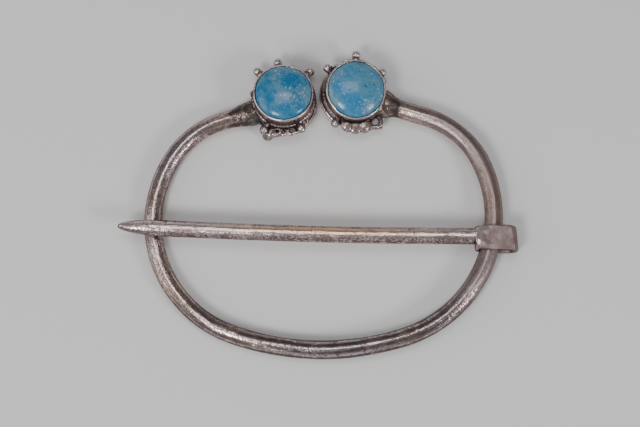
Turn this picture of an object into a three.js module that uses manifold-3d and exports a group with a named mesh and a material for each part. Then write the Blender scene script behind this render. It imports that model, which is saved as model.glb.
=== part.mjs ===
// A silver penannular brooch: an oval hoop of round rod, open at the top, with a
// round stone setting soldered on each end, and a loose pin that swings on one limb.
// Millimetres, +Z up. The brooch lies flat on its back, and the opening faces +Y.
import * as THREE from 'three';
import { mergeVertices } from 'three/addons/utils/BufferGeometryUtils.js';
import Module from 'manifold-3d';

const wasm = await Module();
wasm.setup();

// Hoop rod, bent by hand, so its left and right sides differ a little
const rodRadius = 1.53;
const rodSides = 12;
const footBendRadius = 45;
const footTilt = -0.9;
const leftFootSweep = 18.6;
const leftSideRadius = 20.2;
const leftSideSweep = 106.6;
const leftShoulderRadius = 14.1;
const rightFootSweep = 18.6;
const rightSideRadius = 21.5;
const rightSideSweep = 94.4;
const rightShoulderRadius = 15.1;
const bendStep = 7.5;

// Solder sockets where the rod runs into the settings
const leftFlareLength = 4.2;
const leftFlareRadius = 2.1;
const rightFlareLength = 2.9;
const rightFlareRadius = 2.4;
const flareFlatness = 0.85;
const flareSteps = 4;
const socketSink = 1.2;
const leftAimDrop = 0.35;
const rightAimDrop = 0.25;
const solderGap = 0.05;

// Stone settings: a drum on a base plate, a top plate, and the bezel round the stone
const settingGap = 0.38;
const leftSettingRise = 42.14;
const rightSettingRise = 43.55;
const gapOffset = -0.08;
const leftLean = 6.5;
const leftLeanTowards = 90;
const rightLean = 6.5;
const rightLeanTowards = -22;
const basePlateRadius = 5.62;
const basePlateThickness = 0.5;
const drumFootRadius = 5.5;
const drumTopRadius = 5.2;
const drumHeight = 1.8;
const topPlateRadius = 5.45;
const topPlateThickness = 0.45;
const footWireRadius = 0.24;
const footWireSteps = 3;
const bezelWall = 0.3;
const bezelHeight = 2.8;
const cupDepth = 2.3;
const rimInset = 0.06;
const roundSides = 40;

// Cabochon stones
const stoneRadius = 4.74;
const stoneGirdleHeight = 2.1;
const stoneDomeHeight = 1.6;
const stoneFootBevel = 0.35;
const stoneClearance = 0.05;
const stoneSides = 28;
const domeSteps = 5;

// Granules and the row of wire loops round the top plate: each granule and each run of
// solder has an angle from +X and a reach past the plate's edge
const leftGranules = [[47, 1.12], [99, 1.04], [133, 1.12], [240, 1.15], [299, 0.78]];
const rightGranules = [[37, 0.55], [87, 1.05], [138, 0.65], [239, 0.85]];
const granuleRadius = 0.72;
const granuleSeatRadius = 0.62;
const loopCount = 14;
const loopRadius = 0.82;
const loopWireRadius = 0.25;
const loopOverlap = 1.08;
const rodRoom = 35;
const facingRoom = 32;
const leftBareArc = [140, 200];
const rightBareArc = [190, 245];
const bigLoopAngle = 308;
const bigLoopRadius = 1.0;
const bigLoopWireRadius = 0.34;
const bigLoopOverlap = 0.4;

// Solder that has filled some loops, and a stub left standing below one granule
const leftLumps = [[262, 0.4], [283, 0]];
const rightLumps = [[262, -0.3], [277, 0], [293, 0.5]];
const lumpRadius = 0.95;
const lumpFlatness = 0.55;
const postAngle = 245;
const postRadius = 1.0;
const postTaper = 0.85;
const postOverlap = 0.15;

// Pin
const shankWidth = 2.73;
const shankThickness = 2.5;
const shankBow = 0.42;
const pointLength = 5.4;
const pointRadius = 0.3;
const pointFullness = 0.42;
const pointSteps = 5;
const pointOverhang = 4.2;
const crossingRise = 20.25;
const loopRise = 18.55;
const restClearance = 0.05;
const bandWidth = 4.1;
const bandThickness = 0.8;
const bandShift = 0.05;
const bandClearance = 0.2;
const bandFullness = 5;
const foldClearance = 1.94;
const foldSkew = 6;
const foldSteps = 9;
const curlClearance = 0.62;
const curlLift = 18;
const curlSteps = 6;
const neckLength = 0.4;
const rootStart = 2.6;
const rootThickness = 1.9;
const bandStart = 0.6;
const pinSides = 12;
const shankSteps = 9;

const silver = new THREE.MeshStandardMaterial({ color: 0xa89d97, metalness: 0.95, roughness: 0.42 });
const turquoise = new THREE.MeshStandardMaterial({ color: 0x6aa6bf, metalness: 0, roughness: 0.25 });

const radians = THREE.MathUtils.degToRad;
const up = new THREE.Vector3(0, 0, 1);

// Turns a closed geometry into a solid that can be joined and cut
function solidOf(geometry) {
  const bare = geometry.clone();
  bare.deleteAttribute('uv');
  bare.deleteAttribute('normal');
  const merged = mergeVertices(bare, 1e-4);
  const corners = merged.index.array;
  const triangles = [];
  for (let i = 0; i < corners.length; i += 3) {
    const [a, b, c] = [corners[i], corners[i + 1], corners[i + 2]];
    if (a !== b && b !== c && c !== a) triangles.push(a, b, c);
  }
  return new wasm.Manifold(new wasm.Mesh({
    numProp: 3,
    vertProperties: new Float32Array(merged.attributes.position.array),
    triVerts: new Uint32Array(triangles),
  }));
}

function geometryOf(solid) {
  const mesh = solid.getMesh();
  const geometry = new THREE.BufferGeometry();
  geometry.setAttribute('position', new THREE.BufferAttribute(mesh.vertProperties, 3));
  geometry.setIndex(new THREE.BufferAttribute(mesh.triVerts, 1));
  return geometry;
}

// A closed skin through a row of rings with equal counts, with a fan over each end
function loft(rings) {
  const count = rings[0].length;
  const index = [];
  for (let r = 0; r + 1 < rings.length; r++) {
    for (let i = 0; i < count; i++) {
      const a = r * count + i;
      const b = r * count + ((i + 1) % count);
      index.push(a, b, b + count, a, b + count, a + count);
    }
  }
  const last = (rings.length - 1) * count;
  for (let i = 1; i + 1 < count; i++) {
    index.push(0, i + 1, i);
    index.push(last, last + i, last + i + 1);
  }
  const geometry = new THREE.BufferGeometry();
  const positions = rings.flat().flatMap((point) => point.toArray());
  geometry.setAttribute('position', new THREE.Float32BufferAttribute(positions, 3));
  geometry.setIndex(index);
  return geometry;
}

// A ring of points round a centre: fullness 2 is round, and more is squarer
function ring(centre, side, up, halfWidth, halfHeight, fullness, count) {
  const points = [];
  for (let i = 0; i < count; i++) {
    const angle = (i / count) * 2 * Math.PI;
    const across = Math.cos(angle);
    const along = Math.sin(angle);
    const width = halfWidth * Math.sign(across) * Math.abs(across) ** (2 / fullness);
    const height = halfHeight * Math.sign(along) * Math.abs(along) ** (2 / fullness);
    points.push(centre.clone().addScaledVector(side, width).addScaledVector(up, height));
  }
  return points;
}

function turned(profile, sides) {
  const points = profile.map(([radius, height]) => new THREE.Vector2(radius, height));
  return new THREE.LatheGeometry(points, sides).rotateX(Math.PI / 2);
}

// Stations along one side of the hoop, from the foot to the last bend, from which it aims at its setting
function limb(turn, footSweep, sideRadius, sideSweep, shoulderRadius, aim) {
  const stations = [];
  const at = new THREE.Vector2(0, 0);
  let heading = turn > 0 ? radians(footTilt) : Math.PI + radians(footTilt);
  const normal = () => new THREE.Vector2(-Math.sin(heading), Math.cos(heading)).multiplyScalar(turn);
  const bend = (radius, sweep) => {
    const centre = at.clone().addScaledVector(normal(), radius);
    const steps = Math.ceil(sweep / bendStep);
    for (let i = 0; i < steps; i++) {
      heading += (turn * radians(sweep)) / steps;
      at.copy(centre).addScaledVector(normal(), -radius);
      stations.push({ at: at.clone(), heading });
    }
  };
  bend(footBendRadius, footSweep);
  bend(sideRadius, sideSweep);
  const shoulder = at.clone().addScaledVector(normal(), shoulderRadius);
  const toAim = aim.clone().sub(shoulder);
  const straightOn = toAim.angle() + turn * Math.asin(shoulderRadius / toAim.length());
  const sweepLeft = turn * (straightOn - heading);
  const fullTurn = 2 * Math.PI;
  const sweep = sweepLeft - fullTurn * Math.floor(sweepLeft / fullTurn);
  bend(shoulderRadius, THREE.MathUtils.radToDeg(sweep));
  return stations;
}

const leftCentre = new THREE.Vector2(gapOffset - basePlateRadius - settingGap / 2, leftSettingRise);
const rightCentre = new THREE.Vector2(gapOffset + basePlateRadius + settingGap / 2, rightSettingRise);
const leftAim = leftCentre.clone().sub(new THREE.Vector2(0, leftAimDrop));
const rightAim = rightCentre.clone().sub(new THREE.Vector2(0, rightAimDrop));
const leftLimb = limb(-1, leftFootSweep, leftSideRadius, leftSideSweep, leftShoulderRadius, leftAim);
const rightLimb = limb(1, rightFootSweep, rightSideRadius, rightSideSweep, rightShoulderRadius, rightAim);

// The place on a limb at a height above the foot, and the rod's heading there
function stationAt(stations, rise) {
  const above = stations.findIndex((station) => station.at.y >= rise);
  const [low, high] = [stations[above - 1], stations[above]];
  const share = (rise - low.at.y) / (high.at.y - low.at.y);
  return {
    at: low.at.clone().lerp(high.at, share),
    heading: THREE.MathUtils.lerp(low.heading, high.heading, share),
  };
}
const crossing = stationAt(leftLimb, crossingRise);
const loopStation = stationAt(rightLimb, loopRise);

// The hoop lies on the table at its left side and on the pin's loop at its right
const loopDrop = bandClearance + bandThickness;
const hoopTilt = Math.asin(loopDrop / (loopStation.at.x - crossing.at.x));
const hoopGroup = new THREE.Group();
hoopGroup.rotation.y = -hoopTilt;
hoopGroup.position.z = rodRadius - crossing.at.x * Math.sin(hoopTilt);

const drumTop = basePlateThickness + drumHeight;
const plateTop = drumTop + topPlateThickness;
const bezelRadius = stoneRadius + stoneClearance + bezelWall;
const rimHeight = plateTop + bezelHeight;
const cupFloor = rimHeight - cupDepth;

// The neck of a limb runs straight from its last bend into the setting and swells with solder
function neck(stations, turn, aim, flareLength, flareRadius, grow) {
  const start = stations[stations.length - 1].at;
  const way = aim.clone().sub(start);
  const wall = way.length() - drumFootRadius;
  way.normalize();
  const side = new THREE.Vector3(-way.y, way.x, 0).multiplyScalar(turn);
  const swollen = (distance, share) => {
    const at = start.clone().addScaledVector(way, distance);
    const width = THREE.MathUtils.lerp(rodRadius, flareRadius, share);
    const height = THREE.MathUtils.lerp(rodRadius, flareRadius * flareFlatness, share);
    return ring(new THREE.Vector3(at.x, at.y, 0), side, up, width + grow, height + grow, 2, rodSides);
  };
  const rings = [];
  for (let i = 0; i <= flareSteps; i++) {
    const share = i / flareSteps;
    rings.push(swollen(wall - flareLength * (1 - share), THREE.MathUtils.smoothstep(share, 0, 1)));
  }
  rings.push(swollen(wall + socketSink, 1));
  return rings;
}

// Both necks run the way the whole rod is drawn, from the left setting to the right one
function leftNeck(grow) {
  return neck(leftLimb, -1, leftAim, leftFlareLength, leftFlareRadius, grow).reverse();
}

function rightNeck(grow) {
  return neck(rightLimb, 1, rightAim, rightFlareLength, rightFlareRadius, grow);
}

function rodRing(station, turn) {
  const side = new THREE.Vector3(-Math.sin(station.heading), Math.cos(station.heading), 0);
  const centre = new THREE.Vector3(station.at.x, station.at.y, 0);
  return ring(centre, side.multiplyScalar(turn), up, rodRadius, rodRadius, 2, rodSides);
}

function hoopGeometry() {
  const foot = { at: new THREE.Vector2(0, 0), heading: radians(footTilt) };
  const left = leftLimb.map((station) => rodRing(station, -1)).reverse();
  const right = rightLimb.map((station) => rodRing(station, 1));
  return loft([...leftNeck(0), ...left, rodRing(foot, 1), ...right, ...rightNeck(0)]);
}

// The profile of a setting's base plate, drum and top plate, which may be grown by a gap
function drumProfile(grow) {
  return [
    [0, -grow],
    [basePlateRadius + grow, -grow],
    [basePlateRadius + grow, basePlateThickness + grow],
    [drumFootRadius + grow, basePlateThickness + grow],
    [drumTopRadius + grow, drumTop - grow],
    [topPlateRadius + grow, drumTop - grow],
    [topPlateRadius + grow, plateTop + grow],
  ];
}

// The turned body, with a round wire at the bezel's foot and a cup for the stone
function settingBody() {
  const profile = drumProfile(0);
  for (let i = 0; i <= footWireSteps; i++) {
    const angle = (i / footWireSteps - 0.5) * Math.PI;
    const radius = bezelRadius + footWireRadius * Math.cos(angle);
    profile.push([radius, plateTop + footWireRadius * (1 + Math.sin(angle))]);
  }
  const cupRadius = stoneRadius + stoneClearance;
  profile.push([bezelRadius - rimInset, rimHeight], [cupRadius, rimHeight]);
  profile.push([cupRadius, cupFloor], [0, cupFloor]);
  return turned(profile, roundSides);
}

// The room that the rod's end leaves for a setting goes straight up from the top plate's edge
function settingRoom(grow) {
  const profile = drumProfile(grow);
  profile.push([topPlateRadius + grow, rimHeight + grow], [0, rimHeight + grow]);
  return turned(profile, roundSides);
}

function atAngle(geometry, angle, reach, height) {
  return geometry.translate(reach, 0, height).rotateZ(radians(angle));
}

function granule([angle, standoff]) {
  const reach = topPlateRadius + standoff;
  const ball = solidOf(atAngle(new THREE.IcosahedronGeometry(granuleRadius, 1), angle, reach, plateTop));
  const seat = new THREE.CylinderGeometry(granuleSeatRadius, granuleSeatRadius, topPlateThickness, 8);
  const seatReach = topPlateRadius + standoff / 2;
  const seatHeight = drumTop + topPlateThickness / 2;
  return ball.add(solidOf(atAngle(seat.rotateX(Math.PI / 2), angle, seatReach, seatHeight)));
}

function wireLoop(angle) {
  const eye = new THREE.TorusGeometry(loopRadius, loopWireRadius, 5, 9);
  const reach = topPlateRadius + loopRadius - loopOverlap;
  return solidOf(atAngle(eye, angle, reach, drumTop + loopWireRadius));
}

function bigLoop(angle) {
  const eye = new THREE.TorusGeometry(bigLoopRadius, bigLoopWireRadius, 6, 12);
  const reach = topPlateRadius + bigLoopRadius - bigLoopOverlap;
  return solidOf(atAngle(eye, angle, reach, drumTop));
}

function lump([angle, standoff]) {
  const blob = new THREE.IcosahedronGeometry(lumpRadius, 1).scale(1, 1, lumpFlatness);
  return solidOf(atAngle(blob, angle, topPlateRadius + standoff, drumTop + topPlateThickness / 2));
}

function post(angle) {
  const stub = new THREE.CylinderGeometry(postRadius * postTaper, postRadius, plateTop, 8);
  const reach = basePlateRadius + postRadius - postOverlap;
  return solidOf(atAngle(stub.rotateX(Math.PI / 2), angle, reach, plateTop / 2));
}

// Loops stand round the top plate, but not on its bare arc, nor where the rod or the other
// setting is in the way
function loopAngles(rodAngle, facingAngle, [bareFrom, bareTo]) {
  const away = (angle, other) => Math.abs(((angle - other + 540) % 360) - 180);
  const angles = [];
  for (let i = 0; i < loopCount; i++) {
    const angle = (i * 360) / loopCount;
    const clear = away(angle, rodAngle) > rodRoom && away(angle, facingAngle) > facingRoom;
    const bare = angle > bareFrom && angle < bareTo;
    if (clear && !bare) angles.push(angle);
  }
  return angles;
}

// The direction in which a setting looks back along its rod
function rodAngle(stations, centre) {
  const back = stations[stations.length - 1].at.clone().sub(centre);
  return THREE.MathUtils.radToDeg(back.angle());
}

// A setting stands on its base plate's edge, leaning a little as it was soldered
function settingGroup(centre, lean, towards) {
  const group = new THREE.Group();
  const axis = new THREE.Vector3(-Math.sin(radians(towards)), Math.cos(radians(towards)), 0);
  group.quaternion.setFromAxisAngle(axis, radians(lean));
  group.position.set(centre.x, centre.y, basePlateRadius * Math.sin(radians(lean)));
  group.updateMatrix();
  return group;
}

function moved(solid, from, to) {
  const change = to.matrix.clone().invert().multiply(from.matrix);
  return solid.transform(change.elements);
}

function named(name, geometry, material) {
  const mesh = new THREE.Mesh(geometry, material);
  mesh.name = name;
  return mesh;
}

// The cup is kept clear, and only the one sound body stays when the trims are joined on
function settingGeometry(group, trims, neckRings) {
  let joined = solidOf(settingBody());
  const neckRoom = moved(solidOf(loft(neckRings)), hoopGroup, group);
  const cupRadius = stoneRadius + stoneClearance;
  const above = rimHeight + cupDepth;
  const cup = [[0, cupFloor], [cupRadius, cupFloor], [cupRadius, above], [0, above]];
  const cupRoom = solidOf(turned(cup, roundSides));
  for (const trim of trims) joined = joined.add(trim.subtract(neckRoom).subtract(cupRoom));
  const bodies = joined.decompose().sort((a, b) => b.volume() - a.volume());
  return geometryOf(bodies[0]);
}

function cabochonGeometry() {
  const top = stoneGirdleHeight + stoneDomeHeight;
  const dome = [];
  for (let i = 1; i < domeSteps; i++) {
    const angle = (i / domeSteps) * (Math.PI / 2);
    dome.push([stoneRadius * Math.cos(angle), stoneGirdleHeight + stoneDomeHeight * Math.sin(angle)]);
  }
  const foot = [
    [0, 0],
    [stoneRadius - stoneFootBevel, 0],
    [stoneRadius, stoneFootBevel],
    [stoneRadius, stoneGirdleHeight],
  ];
  return turned([...foot, ...dome, [0, top]], stoneSides);
}

// A share of the pin's bullet point, from its blunt tip to the full shank
function pointSize(share) {
  return Math.max(share ** pointFullness, (2 * pointRadius) / shankWidth);
}

// In the pin's own frame the rod's centre at the loop is the origin, and the point lies towards -X.
// The shank's end spreads at its root into a flat band, which folds over the rod and curls under it.
function pinGeometry() {
  const side = new THREE.Vector3(0, 1, 0);
  const bandHeight = rodRadius + bandClearance + bandThickness / 2;
  const restHeight = rodRadius + restClearance + shankThickness / 2;
  const curlReach = rodRadius + curlClearance + bandThickness;
  const foldReach = rodRadius + foldClearance + bandThickness;
  const crossingDistance = loopStation.at.distanceTo(crossing.at);
  const tipDistance = crossingDistance + rodRadius + pointOverhang;
  const slope = (restHeight - bandHeight) / (crossingDistance - curlReach);
  const rings = [];
  const shankRing = (distance, size) => {
    const share = (distance - curlReach) / (tipDistance - curlReach);
    const height = bandHeight + slope * (distance - curlReach);
    const centre = new THREE.Vector3(-distance, -shankBow * Math.sin(Math.PI * share), height);
    rings.push(ring(centre, side, up, (shankWidth / 2) * size, (shankThickness / 2) * size, 2, pinSides));
  };
  for (let i = 0; i < pointSteps; i++) {
    const share = (i / pointSteps) ** 2;
    shankRing(tipDistance - share * pointLength, pointSize(share));
  }
  for (let i = 0; i <= shankSteps; i++) {
    const share = i / shankSteps;
    shankRing(THREE.MathUtils.lerp(tipDistance - pointLength, curlReach + neckLength, share), 1);
  }
  const bandRing = (centreX, turn, height) => {
    const away = new THREE.Vector3(Math.sin(turn), 0, Math.cos(turn));
    const centre = new THREE.Vector3(centreX, -bandShift, 0).addScaledVector(away, height);
    rings.push(ring(centre, side, away, bandWidth / 2, bandThickness / 2, bandFullness, pinSides));
  };
  const root = new THREE.Vector3(-rootStart, -bandShift, bandHeight);
  rings.push(ring(root, side, up, bandWidth / 2, rootThickness / 2, 2, pinSides));
  bandRing(-bandStart, 0, bandHeight);
  const outerRadius = bandHeight + bandThickness / 2;
  for (let i = 0; i <= foldSteps; i++) {
    bandRing(foldReach - outerRadius, (Math.PI * i) / foldSteps, bandHeight);
  }
  for (let i = 0; i <= curlSteps; i++) {
    bandRing(outerRadius - curlReach, Math.PI + (radians(90 + curlLift) * i) / curlSteps, bandHeight);
  }
  const skew = Math.tan(radians(foldSkew));
  for (const point of rings.flat()) {
    if (point.x > 0) point.x -= (point.y + bandShift) * skew * (point.x / foldReach);
  }
  return loft(rings);
}

const leftGroup = settingGroup(leftCentre, leftLean, leftLeanTowards);
const rightGroup = settingGroup(rightCentre, rightLean, rightLeanTowards);
hoopGroup.updateMatrix();

const leftTrims = [
  ...leftGranules.map(granule),
  ...loopAngles(rodAngle(leftLimb, leftCentre), 0, leftBareArc).map(wireLoop),
  ...leftLumps.map(lump),
  post(postAngle),
];
const rightTrims = [
  ...rightGranules.map(granule),
  ...loopAngles(rodAngle(rightLimb, rightCentre), 180, rightBareArc).map(wireLoop),
  ...rightLumps.map(lump),
  bigLoop(bigLoopAngle),
];

const hoopWhole = solidOf(hoopGeometry());
const leftCut = moved(solidOf(settingRoom(solderGap)), leftGroup, hoopGroup);
const rightCut = moved(solidOf(settingRoom(solderGap)), rightGroup, hoopGroup);
const hoopSolid = hoopWhole.subtract(leftCut).subtract(rightCut);
hoopGroup.add(named('hoop', geometryOf(hoopSolid), silver));

const pinGroup = new THREE.Group();
const pinWay = loopStation.at.clone().sub(crossing.at);
pinGroup.position.set(loopStation.at.x, loopStation.at.y, 0);
pinGroup.rotation.z = pinWay.angle();
pinGroup.add(named('pin', pinGeometry(), silver));
hoopGroup.add(pinGroup);

const leftSetting = settingGeometry(leftGroup, leftTrims, leftNeck(solderGap));
const rightSetting = settingGeometry(rightGroup, rightTrims, rightNeck(solderGap));
leftGroup.add(named('left_setting', leftSetting, silver));
rightGroup.add(named('right_setting', rightSetting, silver));

for (const [name, group] of [['left_cabochon', leftGroup], ['right_cabochon', rightGroup]]) {
  const stone = named(name, cabochonGeometry(), turquoise);
  stone.position.z = cupFloor + stoneClearance;
  group.add(stone);
}

// The origin is the middle of the brooch's box, on the table
const brooch = new THREE.Group();
brooch.add(hoopGroup, leftGroup, rightGroup);
const box = new THREE.Box3().setFromObject(brooch, true);
const middle = box.getCenter(new THREE.Vector3());
brooch.position.set(-middle.x, -middle.y, -box.min.z);

export default brooch;
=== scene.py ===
import math

import bmesh
import bpy
import numpy as np
from mathutils import Matrix, Vector, noise


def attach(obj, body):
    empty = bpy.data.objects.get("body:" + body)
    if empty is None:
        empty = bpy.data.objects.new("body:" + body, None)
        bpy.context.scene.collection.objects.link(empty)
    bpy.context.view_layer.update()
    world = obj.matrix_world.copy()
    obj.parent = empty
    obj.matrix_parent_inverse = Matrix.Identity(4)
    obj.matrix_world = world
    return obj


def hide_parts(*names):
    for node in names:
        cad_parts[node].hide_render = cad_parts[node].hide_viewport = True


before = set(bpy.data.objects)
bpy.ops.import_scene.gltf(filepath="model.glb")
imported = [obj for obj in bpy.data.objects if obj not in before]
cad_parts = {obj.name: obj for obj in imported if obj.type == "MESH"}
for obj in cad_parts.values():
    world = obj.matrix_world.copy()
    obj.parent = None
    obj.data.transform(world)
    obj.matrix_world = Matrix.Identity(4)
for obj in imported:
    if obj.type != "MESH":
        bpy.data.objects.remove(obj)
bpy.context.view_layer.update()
mm = 0.001

# The camera looks down from nearly overhead, leaning ten degrees towards the foot of the hoop.
camera_elevation = math.radians(80)
camera_distance = 298
camera_aim = Vector((0.36, -1.71, 2.5))
towards_camera = Vector((0, -math.cos(camera_elevation), math.sin(camera_elevation)))
camera_data = bpy.data.cameras.new("camera")
camera_data.lens = 100
camera_data.sensor_width = 36
camera_data.clip_start = 0.01
camera = bpy.data.objects.new("camera", camera_data)
camera.location = (camera_aim + towards_camera * camera_distance) * mm
camera.rotation_euler = (-towards_camera).to_track_quat("-Z", "Y").to_euler()
bpy.context.scene.collection.objects.link(camera)
bpy.context.scene.camera = camera

# The hoop is one round silver rod, bent by hand into an oval that stays open at the top.
# Its hammer facets are worn soft, and each end swells with rough solder where it meets a setting.
rod_radius = 1.53
foot_radius_gain = 0.02
left_radius_loss = 0.045
foot_bend_radius = 45
foot_tilt = math.radians(-0.9)
foot_sweep = math.radians(18.6)
left_side_radius = 20.2
left_side_sweep = math.radians(106.6)
left_shoulder_radius = 14.1
right_side_radius = 21.5
right_side_sweep = math.radians(94.4)
right_shoulder_radius = 15.1
foot_middle = np.array([0.1139, -24.554, 0.007])
path_step = 0.13
rod_sides = 60
drum_foot_radius = 5.5
base_plate_radius = 5.62
setting_gap = 0.38
gap_offset = -0.08
left_setting_rise = 42.14
right_setting_rise = 43.55
left_aim_drop = 0.35
right_aim_drop = 0.25
left_flare_length = 4.2
left_flare_radius = 2.1
right_flare_length = 2.9
right_flare_radius = 2.4
flare_flatness = 0.85
socket_sink = 0.9
facet_count = 8
facet_depth = 0.55
facet_wander = 0.25
dent_depth = 0.03
solder_dent_depth = 0.1
salts_colour = (0.10, 0.17, 0.14)
reflection_tint = (0.45, 0.4, 0.4)
left_centre = np.array([gap_offset - base_plate_radius - setting_gap / 2, left_setting_rise])
right_centre = np.array([gap_offset + base_plate_radius + setting_gap / 2, right_setting_rise])


def smooth_share(value):
    """A share from 0 to 1, eased in at both ends."""
    share = np.clip(value, 0, 1)
    return share * share * (3 - 2 * share)


def limb(turn, side_radius, side_sweep, shoulder_radius, aim):
    """Middle line and heading of one side of the hoop, from its foot to inside its setting."""
    at = np.zeros(2)
    heading = foot_tilt if turn > 0 else math.pi + foot_tilt
    rows = []

    def bend(radius, sweep):
        nonlocal at, heading
        centre = at + turn * radius * np.array([-math.sin(heading), math.cos(heading)])
        count = math.ceil(radius * sweep / path_step)
        for _ in range(count):
            heading += turn * sweep / count
            at = centre - turn * radius * np.array([-math.sin(heading), math.cos(heading)])
            rows.append([*at, heading])

    bend(foot_bend_radius, foot_sweep)
    bend(side_radius, side_sweep)
    shoulder = at + turn * shoulder_radius * np.array([-math.sin(heading), math.cos(heading)])
    to_aim = aim - shoulder
    straight_on = math.atan2(to_aim[1], to_aim[0])
    straight_on += turn * math.asin(shoulder_radius / np.linalg.norm(to_aim))
    bend(shoulder_radius, (turn * (straight_on - heading)) % (2 * math.pi))
    way = aim - at
    length = np.linalg.norm(way) - drum_foot_radius + socket_sink
    count = math.ceil(length / path_step)
    for share in np.linspace(0, 1, count + 1)[1:]:
        rows.append([*(at + way / np.linalg.norm(way) * length * share), heading])
    return np.array(rows)


def ripple(points, size, seed):
    """Smooth noise from about -1 to 1 over points, with humps about this size apart."""
    shift = Vector((seed * 17.3, seed * 5.1, seed * 9.7))
    return np.array([noise.noise(Vector(point) / size + shift) for point in points.tolist()])


def skin(rings, closed=False):
    """Quads through a row of equal rings, capped at both ends or closed on itself."""
    count, sides = rings.shape[:2]
    row, column = np.meshgrid(np.arange(count if closed else count - 1), np.arange(sides), indexing="ij")
    after = (row + 1) % count
    beside = (column + 1) % sides
    corners = [row * sides + column, row * sides + beside, after * sides + beside, after * sides + column]
    faces = np.stack(corners, -1).reshape(-1, 4).tolist()
    if not closed:
        faces.append(list(range(sides))[::-1])
        faces.append(list(range((count - 1) * sides, count * sides)))
    return rings.reshape(-1, 3), faces


def neighbour_mean(edges, values):
    """The mean of each point's neighbours along the edges."""
    total = np.zeros_like(values)
    for axis in range(values.shape[1]):
        for near, far in ((0, 1), (1, 0)):
            total[:, axis] += np.bincount(edges[:, near], values[edges[:, far], axis], len(values))
    return total / np.bincount(edges.ravel(), minlength=len(values))[:, None]


def mesh_edges(mesh):
    """The two points of each edge."""
    edges = np.empty(len(mesh.edges) * 2, np.int32)
    mesh.edges.foreach_get("vertices", edges)
    return edges.reshape(-1, 2)


def mesh_normals(mesh):
    """Which way each point of a mesh faces."""
    normals = np.empty(len(mesh.vertices) * 3, np.float32)
    mesh.vertex_normals.foreach_get("vector", normals)
    return normals.reshape(-1, 3)


def keep_value(mesh, name, values):
    """Stores a number or a vector on each point of a mesh, for its material to read."""
    kind, key = ("FLOAT", "value") if values.ndim == 1 else ("FLOAT_VECTOR", "vector")
    mesh.attributes.new(name, kind, "POINT").data.foreach_set(key, values.astype(np.float32).ravel())


def keep_hollows(mesh, rounds, depth, wear_and_shading=0):
    """Marks each point from -1 on a raised edge to 1 down in a crevice, shifted by an offset: less where
    there is wear, and on the pin also painted highlight and painted shade.
    """
    points = np.array([vertex.co for vertex in mesh.vertices]) / mm
    edges = mesh_edges(mesh)
    evened = points
    for _ in range(rounds):
        evened = neighbour_mean(edges, evened)
    sunk = ((evened - points) * mesh_normals(mesh)).sum(axis=1)
    keep_value(mesh, "hollow", np.clip((sunk - np.median(sunk)) / depth, -1, 1) - wear_and_shading)


def piece(name, points, faces, material):
    """A smooth mesh piece, with its points turned from millimetres to metres."""
    mesh = bpy.data.meshes.new(name)
    mesh.from_pydata((points * mm).tolist(), [], faces)
    mesh.shade_smooth()
    mesh.materials.append(material)
    made = bpy.data.objects.new(name, mesh)
    bpy.context.scene.collection.objects.link(made)
    return made


def group_tree(name, inputs, outputs):
    """An empty node group with its named sockets, and its input and output nodes."""
    tree = bpy.data.node_groups.new(name, "ShaderNodeTree")
    for way, sockets in (("INPUT", inputs), ("OUTPUT", outputs)):
        for label, kind in sockets.items():
            tree.interface.new_socket(name=label, in_out=way, socket_type=kind)
    return tree, tree.nodes.new("NodeGroupInput").outputs, tree.nodes.new("NodeGroupOutput").inputs


def node(tree, kind, options=(), **inputs):
    """Adds a node, sets its options, and sets or links its inputs by name."""
    made = tree.nodes.new(kind)
    for option, value in dict(options).items():
        setattr(made, option, value)
    for label, value in inputs.items():
        socket = made.inputs[label.replace("_", " ")]
        if isinstance(value, bpy.types.NodeSocket):
            tree.links.new(value, socket)
        else:
            socket.default_value = value
    return made


def math_node(tree, operation, first, second, clamp=False):
    """A sum, product or larger of two values; each may be a number or a socket."""
    made = tree.nodes.new("ShaderNodeMath")
    made.operation = operation
    made.use_clamp = clamp
    for socket, value in zip(made.inputs, (first, second)):
        if isinstance(value, bpy.types.NodeSocket):
            tree.links.new(value, socket)
        else:
            socket.default_value = value
    return made.outputs[0]


def tinted(tree, share, below, above):
    """Mixes two colours by a share; each may be a colour or a socket."""
    made = tree.nodes.new("ShaderNodeMix")
    made.data_type = "RGBA"
    tree.links.new(share, made.inputs[0])
    for socket, value in ((made.inputs[6], below), (made.inputs[7], above)):
        if isinstance(value, bpy.types.NodeSocket):
            tree.links.new(value, socket)
        else:
            socket.default_value = (*value, 1)
    return made.outputs[2]


def ranged(tree, value, low, high, new_low=0.0, new_high=1.0):
    """A value moved from one range to another, and kept inside it."""
    made = node(tree, "ShaderNodeMapRange", Value=value, From_Min=low, From_Max=high)
    made.inputs["To Min"].default_value = new_low
    made.inputs["To Max"].default_value = new_high
    return made.outputs["Result"]


# Patches of tarnish, which gather in hollows and are rubbed off raised edges
patch_tree, patch_in, patch_out = group_tree(
    "tarnish patches",
    {"Vector": "NodeSocketVector", "Patch Scale": "NodeSocketFloat", "Hollow": "NodeSocketFloat"},
    {"Patches": "NodeSocketFloat", "Grime": "NodeSocketFloat", "Grain": "NodeSocketFloat"},
)
broad = node(patch_tree, "ShaderNodeTexNoise", Vector=patch_in["Vector"], Detail=6.0, Roughness=0.7)
patch_tree.links.new(patch_in["Patch Scale"], broad.inputs["Scale"])
speckle = node(patch_tree, "ShaderNodeTexNoise", Vector=patch_in["Vector"], Scale=3300.0, Detail=3.0)
speckle.inputs["Roughness"].default_value = 0.65
gathered = math_node(patch_tree, "MULTIPLY", patch_in["Hollow"], 0.25)
lifted = math_node(patch_tree, "ADD", broad.outputs["Fac"], gathered)
sprinkled = math_node(patch_tree, "MULTIPLY", speckle.outputs["Fac"], 2.2)
spotted = math_node(patch_tree, "ADD", lifted, sprinkled)
patch_tree.links.new(ranged(patch_tree, spotted, 1.44, 1.76), patch_out["Patches"])
half_sprinkled = math_node(patch_tree, "MULTIPLY", speckle.outputs["Fac"], 0.5)
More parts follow.
